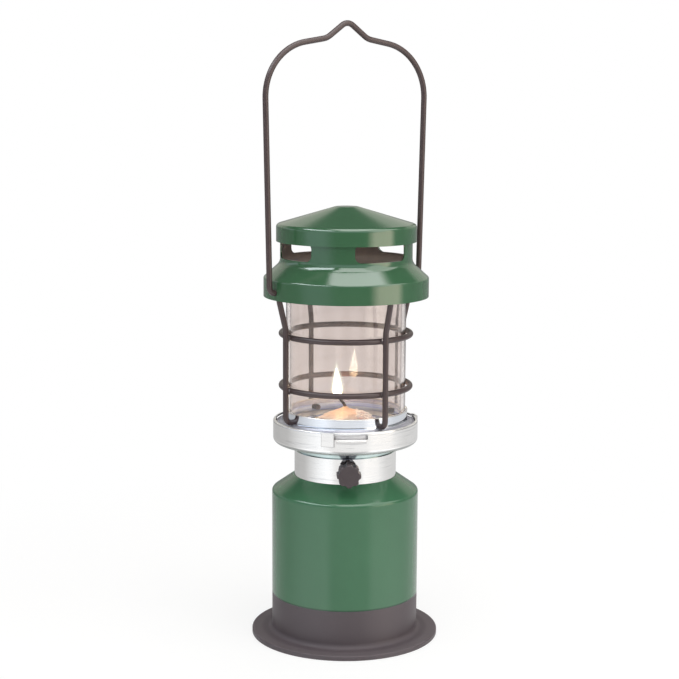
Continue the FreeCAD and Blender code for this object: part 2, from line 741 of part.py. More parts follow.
def make_guard_upright(name, turn, has_eye):
    """A bent wire: a stub through the collar, a straight run, and a lean out to the skirt."""
    upright = new_body(name, turn=turn)
    lean_top = hood_z - s.seat_gap * 5
    eye_radius = pin_bore + half_wire
    end = pivot_z - eye_radius if has_eye else hood_shoulder_z - s.seat_gap * 5
    bent_wire(upright, [
        (s.stub_reach, stub_z), (upright_radius, stub_z), (upright_radius, lean_top - s.lean_height),
        (upright_top, lean_top), (upright_top, end)],
        [s.upright_bend, s.upright_curve, s.upright_curve], half_wire)
    if has_eye:
        eye = upright.newObject("PartDesign::AdditiveTorus", "eye")
        eye.AttachmentSupport = [(origin_feature(upright, "YZ_Plane"), "")]
        eye.MapMode = "FlatFace"
        bind(eye, "AttachmentOffset.Base.y", pivot_z)
        bind(eye, "AttachmentOffset.Base.z", upright_top)
        bind(eye, "Radius1", eye_radius)
        bind(eye, "Radius2", half_wire)
        doc.recompute()


def make_vent_hood():
    hood = new_body("vent_hood")
    bore = s.neck_radius - s.sheet
    flange = s.neck_radius + s.neck_flange
    revolve(hood, [
        (s.hood_radius, hood_z), (s.hood_radius, hood_shoulder_z), (s.neck_radius, hood_neck_z),
        (s.neck_radius, neck_top - s.sheet), (flange, neck_top - s.sheet), (flange, neck_top),
        (bore, neck_top), (bore, hood_cone.under(bore)),
        (skirt_bore, hood_cone.under(skirt_bore)), (skirt_bore, hood_z)])
    round_rings(hood, s.hood_round, [(s.hood_radius, hood_shoulder_z)])
    round_rings(hood, s.neck_round, [(s.neck_radius, hood_neck_z)])
    round_rings(hood, s.neck_round + s.sheet, [(bore, hood_cone.under(bore))])
    cross_hole(hood, "pivot_hole", pivot_z, pin_bore, s.hood_radius * 3)
    window = new_sketch(hood, "window", "XZ_Plane")
    half = s.window_width / 2
    sill = hood_neck_z + s.window_sill
    lintel = sill + s.window_height
    draw_path(window, [(-half, sill), (half, sill), (half, lintel), (-half, lintel)],
              [s.window_round] * 4, closed=True)
    opening = extrude(hood, "Pocket", window, s.neck_radius * 3, symmetric=True)
    pattern(hood, opening, 2, angle=QUARTER_TURN)


def make_roof_cap():
    cap = new_body("roof_cap")
    slope = s.cap_rise / (s.cap_radius - s.cap_flat)
    drop = s.sheet * root(slope * slope + 1)
    flange = s.neck_radius + s.neck_flange
    eaves = neck_top + s.seat_gap + drop - (s.cap_radius - flange) * slope
    cone = Cone(s.cap_radius, eaves, s.cap_flat, s.cap_rise)
    bore = s.cap_radius - s.sheet
    top = eaves + s.cap_rise
    inner_flat = s.cap_flat - (drop - s.sheet) / slope
    revolve(cap, [
        (s.cap_radius, eaves - s.cap_skirt), (s.cap_radius, eaves), (s.cap_flat, top), (0, top),
        (0, top - s.sheet), (inner_flat, top - s.sheet), (bore, cone.under(bore)),
        (bore, eaves - s.cap_skirt)])
    round_rings(cap, s.cap_round, [(s.cap_radius, eaves), (s.cap_flat, top)])


def make_bail():
    bail = new_body("bail")
    pin_end = upright_top - half_wire - s.play - s.head_length
    crown_z = pivot_z + s.crown_rise
    notch_z = pivot_z + s.notch_foot
    right_side = [(pin_end, pivot_z), (s.pivot_half, pivot_z), (s.crown_half, crown_z),
                  (s.notch_half, notch_z)]
    left_side = [(-x, z) for x, z in reversed(right_side)]
    bends = [s.pivot_bend, s.crown_bend, s.notch_ease]
    bent_wire(bail, right_side + [(0, pivot_z + s.notch_rise)] + left_side,
              bends + [s.notch_bend] + bends[::-1], half_wire)
    for side, is_left in ((pin_end, False), (-pin_end, True)):
        head = new_sketch(bail, "left_head" if is_left else "right_head", "YZ_Plane", lift=side)
        draw_circle(head, 0, pivot_z, s.head_radius)
        extrude(bail, "Pad", head, s.head_length, reverse=is_left)


def check_document():
    """Stop where a feature failed or a sub-part has no sound solid."""
    for thing in doc.Objects:
        if "Invalid" in thing.State or "Error" in thing.State:
            raise RuntimeError(f"{thing.Name} failed: {thing.State}")
    for piece in sub_parts:
        if piece.Shape.isNull() or not piece.Shape.isValid() or len(piece.Shape.Solids) != 1:
            raise RuntimeError(f"{piece.Label} is not one sound solid")


def write_parts():
    os.makedirs("parts", exist_ok=True)
    for piece in sub_parts:
        piece.Shape.exportStep(f"parts/{piece.Label}.step")
        print(f"{piece.Label}: {piece.Shape.Volume:.1f} mm3")


make_foot()
make_body_shell()
make_neck_sleeve()
make_clamp_nut()
make_knob()
make_knob_screw()
make_burner_cup()
make_candle_pan()
make_candle_tin()
make_candle_wax()
make_wick_tab()
make_wick()
make_gallery()
make_globe()
make_guard_ring("guard_ring_lower", gallery_floor + s.ring_low)
make_guard_ring("guard_ring_upper", gallery_floor + s.ring_low + s.ring_spacing)
UPRIGHTS = [("right", 0, True), ("back", 1, False), ("left", 2, True), ("front", 3, False)]
for side, quarter, has_eye in UPRIGHTS:
    make_guard_upright(f"guard_upright_{side}", Dim(QUARTER_TURN * quarter, str(QUARTER_TURN * quarter)),
                       has_eye)
make_vent_hood()
make_roof_cap()
make_bail()
doc.recompute()
check_document()
write_parts()
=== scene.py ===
import json
import math
import random

import bmesh
import bpy
from mathutils import Matrix, Vector, noise


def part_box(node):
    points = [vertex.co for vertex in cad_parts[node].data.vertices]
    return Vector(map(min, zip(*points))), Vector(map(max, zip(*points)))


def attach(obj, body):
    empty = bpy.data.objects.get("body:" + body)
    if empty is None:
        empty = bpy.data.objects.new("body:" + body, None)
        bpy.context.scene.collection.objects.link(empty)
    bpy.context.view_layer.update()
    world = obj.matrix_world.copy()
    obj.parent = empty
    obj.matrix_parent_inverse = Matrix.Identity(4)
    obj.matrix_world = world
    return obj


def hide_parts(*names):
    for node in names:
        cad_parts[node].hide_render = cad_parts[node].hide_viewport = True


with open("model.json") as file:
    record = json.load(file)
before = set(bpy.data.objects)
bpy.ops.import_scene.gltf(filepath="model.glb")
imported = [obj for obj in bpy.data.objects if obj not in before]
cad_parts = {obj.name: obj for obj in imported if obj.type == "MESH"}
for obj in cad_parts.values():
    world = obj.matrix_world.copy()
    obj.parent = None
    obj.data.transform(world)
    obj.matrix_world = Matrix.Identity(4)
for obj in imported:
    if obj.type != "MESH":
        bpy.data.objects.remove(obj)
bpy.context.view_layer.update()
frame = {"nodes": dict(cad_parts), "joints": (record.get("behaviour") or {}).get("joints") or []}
nodes = frame["nodes"]

UP = Vector((0.0, 0.0, 1.0))
WHITE = (1.0, 1.0, 1.0, 1.0)
BLACK = (0.0, 0.0, 0.0, 1.0)

# Places that the solids give, in metres
DRUM_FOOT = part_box("body_shell")[0].z
SLEEVE_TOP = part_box("neck_sleeve")[1].z
CUP_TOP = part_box("burner_cup")[1].z
CUP_RADIUS = -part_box("burner_cup")[0].x
COLLAR_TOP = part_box("gallery")[1].z
TIN_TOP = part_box("candle_tin")[1].z
WAX_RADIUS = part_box("candle_wax")[1].x
GUARD_RINGS = ("guard_ring_lower", "guard_ring_upper")
GUARD_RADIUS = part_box("guard_ring_lower")[1].x
RING_HEIGHTS = [sum(corner.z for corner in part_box(ring)) / 2.0 for ring in GUARD_RINGS]

# The way the thumb knob faces
KNOB_SIDE = next(Vector(joint["axis"]) for joint in frame["joints"] if joint["name"] == "knob_turn")

# Where the painted shade on the foot's flange, beside its collar, gives way to a paler edge with a
# painted sheen
FLANGE_SHADE = 0.0445

# The bayonet gates in the cup's wall: where they stand in degrees, their lower end and half their width
GATE_TURNS = (103.3, 223.3, 343.3)
GATE_FOOT = CUP_TOP - 0.0073
GATE_HALF = 0.00335

# The painted shade along a gate's edges: half its width, half its darkest part, and how far its ends run
# on
EDGE_HALF = 0.00035
EDGE_CORE = 0.0001
EDGE_END = 0.0003

# The slots beside the gates: their ends in degrees from the gate, and the lip along their lower edge
SLOT_START = 5.6
SLOT_END = 30.6
LIP_HEIGHT = CUP_TOP - 0.0042
LIP_RADIUS = CUP_RADIUS - 0.0002
LIP_SIZE = 0.0007

# The cup's lower corner with its painted shade, the radius within which it is all spigot, and the mouth
# of the pan's well
CUP_CORNER = CUP_TOP - 0.0104
SPIGOT_REACH = 0.028
WELL_MOUTH = 0.0206

# The gallery: the skirt that stands in the cup, and the rolled bead along the top of the collar
SKIRT_TOP = CUP_TOP - 0.0012
BEAD_HEIGHT = COLLAR_TOP - 0.0001
BEAD_RADIUS = 0.0324
BEAD_SIZE = 0.00045

# A weld bead: how far it is from the middle of its upright, and its half sizes outwards, along and up
WELD_ASIDE = 0.001
WELD_SIZES = (0.001, 0.0009, 0.0015)

# The wax in its tin: its foot and edge, its rise to a flat top, its bulge at the wick, and where its
# painted glow is brightest
WAX_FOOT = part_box("candle_wax")[0].z + 0.00005
WAX_EDGE = TIN_TOP - 0.0004
WAX_RISE = 0.0079
WAX_FLAT = 0.14
WICK_BULGE = 0.0017
GLOW_SPOT = Vector((-0.005, -0.0058, 0.0))

# Chips of wax: how many, and how far their middles lie above the wax
CHIP_COUNT = 34
CHIP_LIFT = 0.0001

# Where the wick leaves the wax, and how far above that it is charred black
WICK_FOOT = Vector((-0.0005, 0.0003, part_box("candle_wax")[1].z))
CHAR_RISE = 0.0025

# The flame on the wick's tip, and how far its point leans
FLAME_FOOT = Vector((-0.0036, 0.0024, WICK_FOOT.z + 0.0053))
FLAME_LEAN = Vector((-0.000504, 0.00033, 0.0))
FLAME_HEIGHT = 0.0182
FLAME_WIDTH = 0.0061

# The floor: how far it reaches, how far below the foot it lies, and where the shadow fades out on it
FLOOR_RADIUS = 3.0
FLOOR_DROP = 0.0002
SHADOW_FULL = 0.15
SHADOW_END = 0.4

# The photograph's view, in pixels, metres and degrees
PHOTO_PIXELS = 679
VIEW_AZIMUTH = -33.3
VIEW_FOCAL_PIXELS = 1583.0
VIEW_DISTANCE = 0.826
VIEW_HEIGHT = 0.2866
VIEW_PITCH = 8.78
VIEW_ROLL = 0.29
VIEW_YAW = 0.233

# The height that the lamps point at
LAMP_AIM = 0.16


class Value:
    """A socket that takes part in arithmetic and adds the Math nodes that it needs."""

    def __init__(self, finish, socket):
        self.finish = finish
        self.socket = socket

    def __add__(self, other):
        return self.finish.maths("ADD", self, other)

    def __sub__(self, other):
        return self.finish.maths("SUBTRACT", self, other)

    def __rsub__(self, other):
        return self.finish.maths("SUBTRACT", other, self)

    def __mul__(self, other):
        return self.finish.maths("MULTIPLY", self, other)

    def __truediv__(self, other):
        return self.finish.maths("DIVIDE", self, other)

    def __rtruediv__(self, other):
        return self.finish.maths("DIVIDE", other, self)

    def __pow__(self, other):
        return self.finish.maths("POWER", self, other)

    def __abs__(self):
        return self.finish.maths("ABSOLUTE", self)

    __radd__ = __add__
    __rmul__ = __mul__


class Finish:
    """The nodes of one material, or of the world."""

    def __init__(self, owner):
        self.owner = owner
        owner.use_nodes = True
        self.tree = owner.node_tree
        self.tree.nodes.clear()

    def node(self, kind, settings=None, values=None, outputs=None):
        """Add a node: its settings first, then its sockets' values or links."""
        made = self.tree.nodes.new(kind)
        for name, setting in (settings or {}).items():
            if name == "stops":
                ramp = made.color_ramp.elements
                while len(ramp) < len(setting):
                    ramp.new(1.0)
                for stop, (place, colour) in zip(ramp, setting):
                    stop.position = place
                    stop.color = colour
            else:
                setattr(made, name, setting)
        sockets = {socket.identifier: socket for socket in made.inputs}
        for name, value in (values or {}).items():
            if isinstance(value, Value):
                self.tree.links.new(value.socket, sockets[name])
            else:
                sockets[name].default_value = value
        found = {socket.identifier: Value(self, socket) for socket in made.outputs if socket.enabled}
        if outputs:
            return [found[name] for name in outputs]
        return next(iter(found.values()), None)

    def maths(self, operation, *terms, clamp=False):
        values = dict(zip(("Value", "Value_001"), terms))
        return self.node("ShaderNodeMath", {"operation": operation, "use_clamp": clamp}, values)

    def larger(self, a, b):
        return self.maths("MAXIMUM", a, b)

    def place(self):
        """The point on the piece, in metres, and it moves with the piece."""
        return self.node("ShaderNodeTexCoord", None, None, ["Object"])[0]

    def facing(self):
        """Which way the surface faces, and it turns with the piece."""
        return self.node("ShaderNodeTexCoord", None, None, ["Normal"])[0]

    def split(self, vector):
        return self.node("ShaderNodeSeparateXYZ", None, {"Vector": vector}, ["X", "Y", "Z"])

    def join(self, x, y, z):
        return self.node("ShaderNodeCombineXYZ", None, {"X": x, "Y": y, "Z": z})

    def radius(self, x, y):
        return (x * x + y * y) ** 0.5

    def outward(self, x, y, r):
        """How squarely the surface faces away from the axis: 1 on an outer wall, -1 on an inner one."""
        nx, ny, _ = self.split(self.facing())
        return (nx * x + ny * y) / r

    def beside(self, x, y, direction):
        """How far a point lies beside a level direction, and 1 on the half that it points to."""
        side = abs(y * direction.x - x * direction.y)
        return side, self.fade(x * direction.x + y * direction.y, 0.0, 0.01)

    def noise(self, vector, scale, detail=2.0, roughness=0.5):
        """Cloudy values about 0.5, with about scale clouds to the metre."""
        return self.node("ShaderNodeTexNoise", None, {
            "Vector": vector, "Scale": scale, "Detail": detail, "Roughness": roughness})

    def fade(self, value, start, stop, low=0.0, high=1.0):
        """Go smoothly from low at start to high at stop."""
        return self.node("ShaderNodeMapRange", {"interpolation_type": "SMOOTHSTEP"}, {
            "Value": value, "From Min": start, "From Max": stop, "To Min": low, "To Max": high})

    def band(self, value, start, full, waning, stop):
        """Go smoothly from 0 at start to 1 at full, and from 1 at waning back to 0 at stop."""
        return self.fade(value, start, full) * self.fade(value, stop, waning)

    def mix(self, factor, a, b):
        return self.node("ShaderNodeMix", {"data_type": "RGBA"}, {
            "Factor_Float": factor, "A_Color": a, "B_Color": b}, ["Result_Color"])[0]

    def mix_value(self, factor, a, b):
        return self.node("ShaderNodeMix", None, {
            "Factor_Float": factor, "A_Float": a, "B_Float": b}, ["Result_Float"])[0]

    def mix_shader(self, factor, a, b):
        return self.node("ShaderNodeMixShader", None, {"Fac": factor, "Shader": a, "Shader_001": b})

    def bump(self, height, distance):
        values = {"Height": height, "Distance": distance, "Strength": 1.0}
        return self.node("ShaderNodeBump", None, values)

    def principled(self, **values):
        names = {name: name.replace("_", " ") for name in values}
        names["Specular"] = "Specular IOR Level"
        sockets = {names[name]: value for name, value in values.items()}
        return self.node("ShaderNodeBsdfPrincipled", None, sockets)

    def finish(self, shader, kind="ShaderNodeOutputMaterial"):
        self.node(kind, None, {"Surface": shader})
        return self.owner


def new_finish(name):
    return Finish(bpy.data.materials.new(name))


def srgb(red, green, blue):
    """A colour as the eye reads it, 0 to 255, in the linear light that shaders use."""

    def linear(level):
        level /= 255
        return level / 12.92 if level <= 0.04045 else ((level + 0.055) / 1.055) ** 2.4

    return (linear(red), linear(green), linear(blue), 1.0)


def grey(level):
    return (level, level, level, 1.0)


def spoke(degrees):
    """The level direction out from the axis, in degrees from the x axis."""
    turn = math.radians(degrees)
    return Vector((math.cos(turn), math.sin(turn), 0.0))


def toward(azimuth):
    """The level direction from the lantern that is azimuth degrees to the right of the camera."""
    return spoke(VIEW_AZIMUTH + azimuth - 90.0)


def green_enamel(name, dark, light, gloss, rough):
    """Baked enamel: cloudy depth, fine orange peel and a clear gloss outside, bare primer inside, and
    painted shade along the drum's lower edge.
    """
    f = new_finish(name)
    p = f.place()
    x, y, z = f.split(p)
    clouds = f.noise(p, 38.0, 3.0)
    peel = f.noise(p, 1100.0, 2.0)
    specks = f.noise(p, 3600.0, 1.0)
    # Painted shade along the drum's lower edge, where it meets the foot
    lower_edge_shade = f.fade(z, DRUM_FOOT + 0.0011, DRUM_FOOT + 0.0003, 0.0, 0.75)
    colour = f.mix(clouds, dark, light)
    colour = f.mix(f.fade(specks, 0.66, 0.78, 0.0, 0.22), colour, srgb(92, 128, 98))
    colour = f.mix(lower_edge_shade, colour, srgb(30, 52, 40))
    upward = f.split(f.facing())[2]
    inside = f.fade(f.outward(x, y, f.radius(x, y)) + 0.35 * upward, -0.45, -0.55)
    primer = f.mix(f.noise(p, 160.0, 4.0), srgb(98, 87, 82), srgb(124, 111, 104))
    return f.finish(f.principled(
        Base_Color=f.mix(inside, colour, primer), Specular=gloss,
        Roughness=f.mix_value(inside, rough + 0.06 * clouds, 0.6),
        Coat_Weight=0.25 * (1.0 - inside), Coat_Roughness=0.06, Normal=f.bump(peel, 0.00002)))


def foot_plastic():
    """Moulded plastic with a fine grain; its flange has painted shade beside the collar and a painted
    sheen further out.
    """
    f = new_finish("foot_plastic")
    p = f.place()
    grain = f.noise(p, 2100.0, 3.0)
    clouds = f.noise(p, 30.0, 2.0)
    x, y, _ = f.split(p)
    r = f.radius(x, y)
    upward = f.split(f.facing())[2]
    # Painted sheen: the flange's upward faces are paler away from the collar
    top_sheen = f.fade(upward, 0.6, 0.95, 0.0, 0.4) * f.fade(r, FLANGE_SHADE - 0.001, FLANGE_SHADE + 0.001)
    # Painted shade on the flange in the fillet beside the collar
    shade = f.fade(upward, 0.1, 0.4, 0.0, 0.2) * f.fade(r, FLANGE_SHADE, FLANGE_SHADE - 0.002)
    colour = f.mix(clouds, srgb(82, 74, 78), srgb(92, 83, 87))
    colour = f.mix(top_sheen, colour, srgb(104, 96, 99))
    colour = f.mix(shade, colour, srgb(58, 51, 55))
    colour = f.mix(f.fade(grain, 0.55, 0.75, 0.0, 0.3), colour, srgb(104, 96, 99))
    rough = 0.34 + 0.14 * grain + f.fade(upward, 0.02, 0.3, 0.0, 0.2)
    return f.finish(f.principled(
        Base_Color=colour, Roughness=rough, Specular=0.5, Normal=f.bump(grain, 0.00003)))


def knob_plastic():
    """A darker moulding with a slightly coarser grain."""
    f = new_finish("knob_plastic")
    grain = f.noise(f.place(), 1700.0, 3.0)
    colour = f.mix(grain, srgb(66, 58, 60), srgb(86, 77, 79))
    return f.finish(f.principled(
        Base_Color=colour, Roughness=0.38 + 0.2 * grain, Specular=0.45, Normal=f.bump(grain, 0.00003)))


def bright_steel(name, marks=None, dull_top=0.0, dull_inside=0.0, dull_all=0.0, dull_below=0.0):
    """Spun bright steel: fine lines run round the axis, on walls and flats, and smear what it mirrors.

    The first three dull values say how much gloss is lost on faces that look up and on cut ends, on
    inner walls, and all over. Most is lost on undersides, and below the height dull_below.
    """
    f = new_finish(name)
    p = f.place()
    x, y, z = f.split(p)
    r = f.radius(x, y)
    run = z * 0.8 + r * 1.25
    fine = f.noise(f.join(x * 55.0, y * 55.0, run * 7000.0), 1.0, 3.0, 0.6)
    broad = f.noise(f.join(x * 40.0, y * 40.0, run * 900.0), 1.0, 3.0, 0.6)
    smear = f.noise(p, 60.0, 3.0)
    colour = f.mix(fine, srgb(234, 233, 231), srgb(252, 251, 250))
    colour = f.mix(f.fade(broad, 0.56, 0.72, 0.0, 0.4), colour, srgb(200, 200, 202))
    colour = f.mix(f.fade(smear, 0.55, 0.8, 0.0, 0.2), colour, srgb(224, 222, 220))
    if marks:
        colour = marks(f, x, y, z, r, colour)
    nx, ny, nz = f.split(f.facing())
    below = f.fade(z, dull_below, dull_below - 0.0004, 0.0, 0.8)
    under = f.fade(nz, -0.4, -0.9, 0.0, 1.0 - dull_inside - dull_all)
    cut_ends = f.fade(abs(nx * y - ny * x) / r, 0.5, 0.9)
    upper = f.larger(f.fade(nz, 0.15, 0.6), cut_ends)
    inner = f.fade((nx * x + ny * y) / r, -0.1, -0.5)
    dull = dull_all + below + under + dull_top * upper + dull_inside * inner
    rough = 0.05 + 0.05 * broad + 0.04 * smear + 0.33 * dull
    return f.finish(f.principled(
        Base_Color=colour, Metallic=1.0 - 0.9 * dull, Roughness=rough, Anisotropic=0.5,
        Anisotropic_Rotation=0.25, Normal=f.bump(fine + broad, 0.000006)))


def cup_marks(f, x, y, z, r, colour):
    """Painted shade at gates, under slot lips, on inner walls, at the corner and spigot ends; the
    spigot's bluish tint and dark patch by the knob are painted reflections.
    """
    drop = z - GATE_FOOT
    slot_middle = 0.5 * (SLOT_START + SLOT_END)
    slot_reach = CUP_RADIUS * math.sin(math.radians(0.5 * (SLOT_END - SLOT_START)))
    gate_edge_shade = 0.0
    slots = 0.0
    for turn in GATE_TURNS:
        side, ahead = f.beside(x, y, spoke(turn))
        # Painted shade along each gate's edges
        wall = f.fade(abs(side - GATE_HALF), EDGE_HALF, EDGE_CORE) * f.fade(drop, -EDGE_END, 0.0)
        sill = f.fade(abs(drop), EDGE_HALF, EDGE_CORE) * f.fade(side, GATE_HALF + EDGE_END, GATE_HALF)
        gate_edge_shade = f.larger(gate_edge_shade, f.larger(wall, sill) * ahead)
        side, ahead = f.beside(x, y, spoke(turn + slot_middle))
        slots = slots + f.fade(side, slot_reach, slot_reach - 0.0008) * ahead
    # Painted shade in a band below each slot's lip
    under_lip_shade = f.band(z, LIP_HEIGHT - 0.0018, LIP_HEIGHT - 0.0011, LIP_HEIGHT - 0.0003, LIP_HEIGHT)
    colour = f.mix(0.4 * gate_edge_shade, colour, srgb(96, 94, 98))
    colour = f.mix(0.3 * slots * under_lip_shade, colour, srgb(150, 147, 150))
    spigot = f.fade(r, SPIGOT_REACH + 0.0005, SPIGOT_REACH - 0.0005)
    # Painted shade at both ends of the spigot and at the cup's lower corner
    lower_end_shade = f.fade(z, SLEEVE_TOP + 0.0009, SLEEVE_TOP)
    upper_end_shade = f.fade(z, SLEEVE_TOP + 0.0011, SLEEVE_TOP + 0.0025)
    corner = f.fade(r, CUP_RADIUS - 0.002, CUP_RADIUS - 0.0016, 0.0, 0.7)
    corner = corner * f.fade(z, CUP_CORNER + 0.0005, CUP_CORNER)
    # Painted reflection: the spigot is tinted bluish-green by the drum that it mirrors
    colour = f.mix(spigot, colour, srgb(206, 223, 221))
    colour = f.mix(0.7 * (spigot * (lower_end_shade + upper_end_shade) + corner), colour, srgb(74, 92, 92))
    # Painted dark reflection of the knob on the spigot above it
    side, ahead = f.beside(x, y, KNOB_SIDE)
    knob_reflection = spigot * ahead * f.fade(side - 0.6 * (z - SLEEVE_TOP), 0.0042, 0.0028)
    colour = f.mix(0.85 * knob_reflection, colour, srgb(58, 54, 66))
    # Painted shade on the cup's inner walls
    inner = f.fade(f.outward(x, y, r), -0.5, -0.8, 0.0, 0.8)
    return f.mix(inner, colour, srgb(84, 82, 86))


def lip_highlight(f, x, y, z, r, colour):
    """Whitened steel: a painted highlight along the lip."""
    # Painted highlight: the lip's steel is whitened
    return f.mix(0.8, colour, srgb(255, 254, 252))


def pan_marks(f, x, y, z, r, colour):
    """Rings left by the spinning tool, in painted pale and bluish reflections round the well."""
    rings = f.noise(f.join(x * 20.0, y * 20.0, (r + 0.6 * z) * 700.0), 1.0, 2.0)
    # Painted light and reflection: paler steel with bluish rings round the well
    pale = f.mix(0.7, colour, srgb(250, 252, 255))
    ring_reflections = f.mix(f.fade(rings, 0.4, 0.62), srgb(206, 214, 236), pale)
    return f.mix(f.fade(r, WELL_MOUTH, WELL_MOUTH + 0.0008), colour, ring_reflections)


def gallery_marks(f, x, y, z, r, colour):
    """Painted shade by the cup's wall and in the hollow at the collar's foot, bluish streaks painted
    inside as reflections, a pale skirt.
    """
    # Painted shade on the gallery floor by the cup's wall
    rim_shade = f.fade(r, CUP_RADIUS - 0.0032, CUP_RADIUS - 0.002, 0.0, 0.75)
    upward = f.split(f.facing())[2]
    # Painted shade in the hollow at the collar's foot
    cove_shade = f.fade(upward, 0.1, 0.35) * f.fade(r, BEAD_RADIUS + 0.0005, BEAD_RADIUS + 0.0008)
    inner = f.fade(f.outward(x, y, r), -0.1, -0.5)
    turned = f.noise(f.join(x * 26.0, y * 26.0, z * 900.0), 1.0, 2.0)
    streaks = f.mix(f.fade(turned, 0.36, 0.6), srgb(182, 194, 246), srgb(228, 236, 255))
    colour = f.mix(0.5, colour, srgb(226, 236, 252))
    colour = f.mix(rim_shade, colour, srgb(88, 86, 92))
    colour = f.mix(0.75 * cove_shade, colour, srgb(158, 155, 168))
    # Bluish streaks painted on the inner walls as their reflections
    colour = f.mix(inner, colour, streaks)
    return f.mix(f.fade(z, SKIRT_TOP - 0.0002, SKIRT_TOP - 0.0007), colour, srgb(246, 244, 246))


def dark_wire():
    """Drawn wire with an uneven brown-black coat, and painted flame light where the lower ring is behind
    the flame.
    """
    f = new_finish("dark_wire")
    p = f.place()
    lumps = f.noise(p, 420.0, 3.0)
    grain = f.noise(p, 3000.0, 2.0)
    x, y, z = f.split(p)
    behind = toward(180.0)
    inward = f.fade(f.outward(x, y, f.radius(x, y)), 0.1, -0.4)
    level = f.fade(abs(z - RING_HEIGHTS[0]), 0.006, 0.002)
    # Painted flame light on the inner side of the lower ring behind the flame
    flame_glow = f.fade(x * behind.x + y * behind.y, 0.0305, 0.034, 0.0, 0.9) * inward * level
    colour = f.mix(lumps, srgb(62, 48, 48), srgb(78, 62, 61))
    colour = f.mix(f.fade(grain, 0.6, 0.75, 0.0, 0.25), colour, srgb(114, 98, 95))
    colour = f.mix(flame_glow, colour, srgb(168, 102, 72))
    return f.finish(f.principled(
        Base_Color=colour, Roughness=0.28 + 0.16 * lumps, Specular=0.6,
        Normal=f.bump(lumps + grain * 0.3, 0.00003)))


def weld_metal():
    """Weld beads: the wire's coat, with bare bright metal on the lumps."""
    f = new_finish("weld_metal")
    lumps = f.noise(f.place(), 900.0, 3.0)
    bare = f.fade(lumps, 0.55, 0.7)
    colour = f.mix(bare, srgb(70, 58, 58), srgb(190, 178, 170))
    return f.finish(f.principled(
        Base_Color=colour, Metallic=0.8 * bare, Roughness=0.4 - 0.15 * bare, Specular=0.6,
        Normal=f.bump(lumps, 0.0001)))


def clear_glass():
    """Blown lamp glass: a smoky tint, upright streaks, and a painted dark reflection where it is seen
    along its wall.
    """
    f = new_finish("clear_glass")
    x, y, z = f.split(f.place())
    waves = f.noise(f.join(x * 90.0, y * 90.0, z * 18.0), 1.0, 1.0)
    streaks = f.noise(f.join(x * 160.0, y * 160.0, z * 3.0), 1.0, 2.0)
    along_wall = f.node("ShaderNodeLayerWeight", None, {"Blend": 0.5}, ["Facing"])[0]
    colour = f.mix(f.fade(streaks, 0.35, 0.7), (0.79, 0.73, 0.705, 1.0), (0.84, 0.78, 0.755, 1.0))
    # Painted dark reflection where the glass is seen along its wall
    colour = f.mix(f.fade(along_wall, 0.74, 0.84), colour, (0.1, 0.08, 0.075, 1.0))
    return f.finish(f.principled(
        Base_Color=colour, Roughness=0.0, IOR=1.47, Transmission_Weight=0.975,
        Normal=f.bump(waves, 0.00004)))


def candle_foil():
    """Thin aluminium cup with soft crinkles."""
    f = new_finish("candle_foil")
    creases = f.noise(f.place(), 320.0, 3.0, 0.6)
    colour = f.mix(creases, srgb(206, 202, 198), srgb(240, 238, 235))
    return f.finish(f.principled(
        Base_Color=colour, Metallic=1.0, Roughness=0.24 + 0.16 * creases,
        Normal=f.bump(creases, 0.00015)))


def candle_wax(name, pale, warm, dim, lit, soft):
    """Wax with a painted glow: pale and dim by the tin, warm and lit by the wick, and brightest at one
    spot.
    """
    f = new_finish(name)
    p = f.place()
    x, y, _ = f.split(p)
    cloud = f.noise(p, 260.0, 3.0)
    from_wick = f.radius(x - WICK_FOOT.x, y - WICK_FOOT.y)
    from_glow_spot = f.radius(x - GLOW_SPOT.x, y - GLOW_SPOT.y)
    # Painted glow: warm colour and emission by the wick, brightest at one spot
    glow = f.fade(from_wick + 0.005 * cloud, 0.02, 0.002)
    light = f.mix(glow, dim, lit)
    light = f.mix(f.fade(from_glow_spot, 0.0045, 0.001, 0.0, 0.3), light, srgb(230, 180, 100))
    return f.finish(f.principled(
        Base_Color=f.mix(glow, pale, warm), Roughness=0.3 + 0.25 * cloud, Subsurface_Weight=soft,
        Subsurface_Radius=(0.006, 0.0035, 0.002), Subsurface_Scale=1.0,
        Emission_Color=light, Emission_Strength=1.0, Normal=f.bump(cloud, 0.0002)))


def wick_cotton():
    """Braided cotton, charred towards the flame."""
    f = new_finish("wick_cotton")
    x, y, z = f.split(f.place())
    braid = f.noise(f.join(x * 900.0, y * 900.0, z * 2600.0), 1.0, 2.0)
    char = f.fade(z, WICK_FOOT.z, WICK_FOOT.z + CHAR_RISE)
    colour = f.mix(char, srgb(150, 120, 90), srgb(30, 18, 13))
    return f.finish(f.principled(
        Base_Color=colour, Roughness=0.8 + 0.15 * braid, Specular=0.15, Normal=f.bump(braid, 0.0002)))


def flame_light(name, low_colour, high_colour, strength, solid_foot, solid_top):
    """Hot gas: amber at the foot, nearly white above, and see-through where its solid values are low."""
    f = new_finish(name)
    p = f.place()
    rise = (f.split(p)[2] - FLAME_FOOT.z) / FLAME_HEIGHT
    flicker = f.noise(p, 300.0, 2.0)
    colour = f.mix(f.fade(rise + 0.08 * flicker, 0.1, 0.55), low_colour, high_colour)
    solid = f.fade(rise, 0.0, 0.2, solid_foot, solid_top)
    return f.finish(f.principled(
        Base_Color=BLACK, Roughness=1.0, Specular=0.0, Alpha=solid,
        Emission_Color=colour, Emission_Strength=strength))


